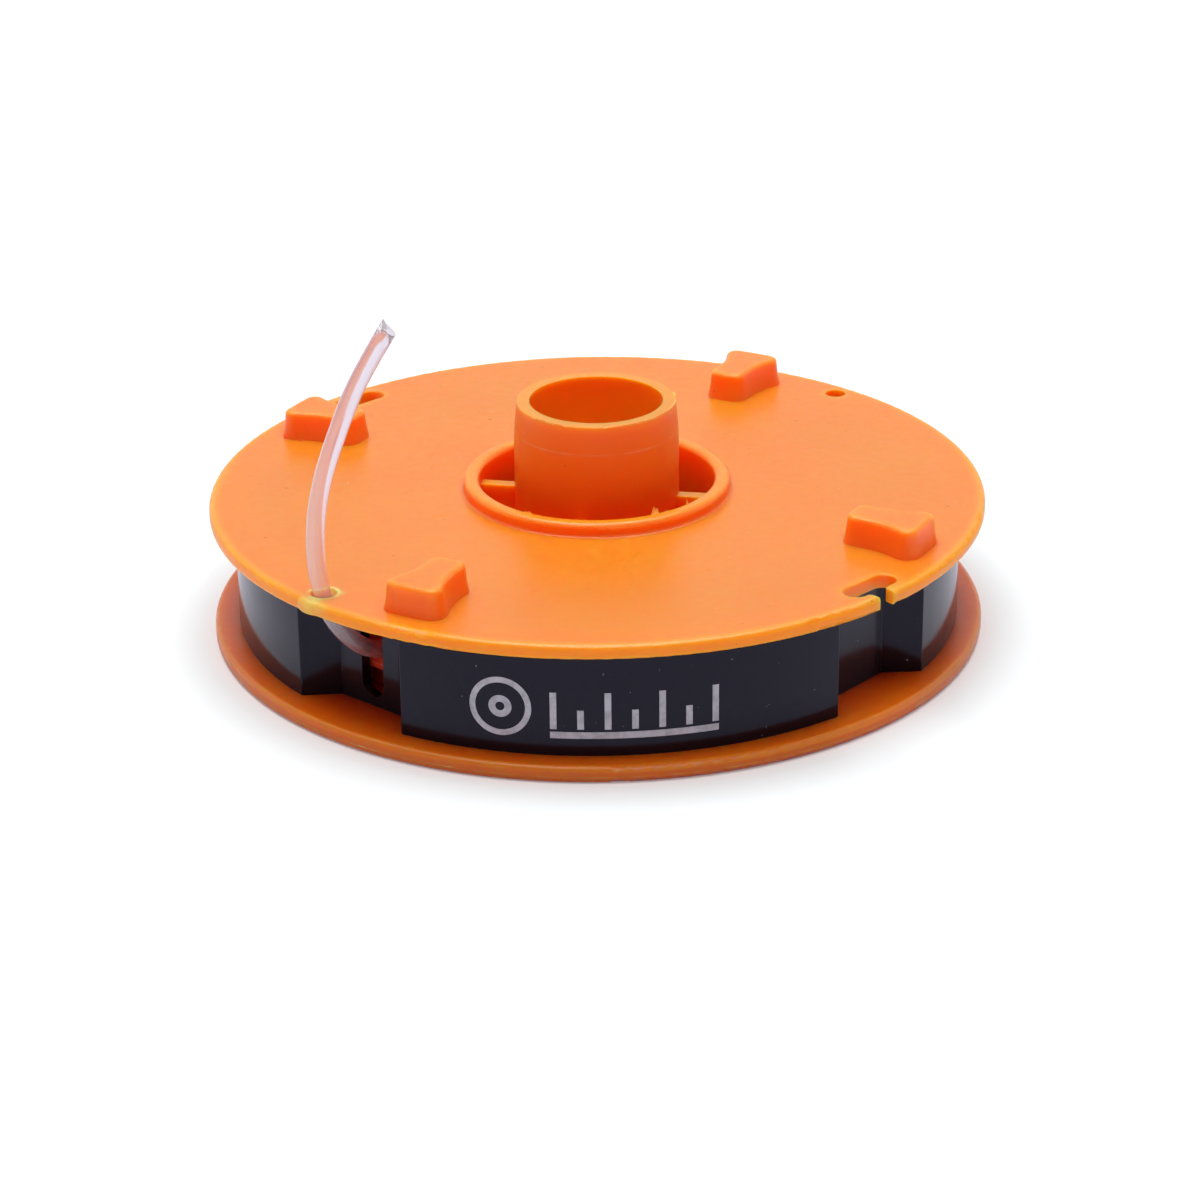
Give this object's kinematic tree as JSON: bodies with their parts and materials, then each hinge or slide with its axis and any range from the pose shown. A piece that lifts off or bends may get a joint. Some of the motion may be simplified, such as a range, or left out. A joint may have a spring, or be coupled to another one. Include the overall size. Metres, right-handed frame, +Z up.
{
  "type": "spool of trimmer line",
  "caption": "Spool of clear cutting line for a garden trimmer: orange flanged spool with a raised hub, a black retaining band and the line's free end standing up.",
  "frame": {"origin": "middle of the underside, on the hub's axis", "axes": "+Z up the hub, -Y towards the front"},
  "size_m": [0.088, 0.088, 0.0458],
  "materials": {
    "orange_plastic": "semi-gloss moulding",
    "black_plastic": "glossy",
    "clear_line": "clear, glossy"
  },
  "bodies": {
    "root": {"spool": "orange_plastic", "line_retainer": "black_plastic", "wound_line": "clear_line", "line_tail": "clear_line"}
  },
  "joints": []
}
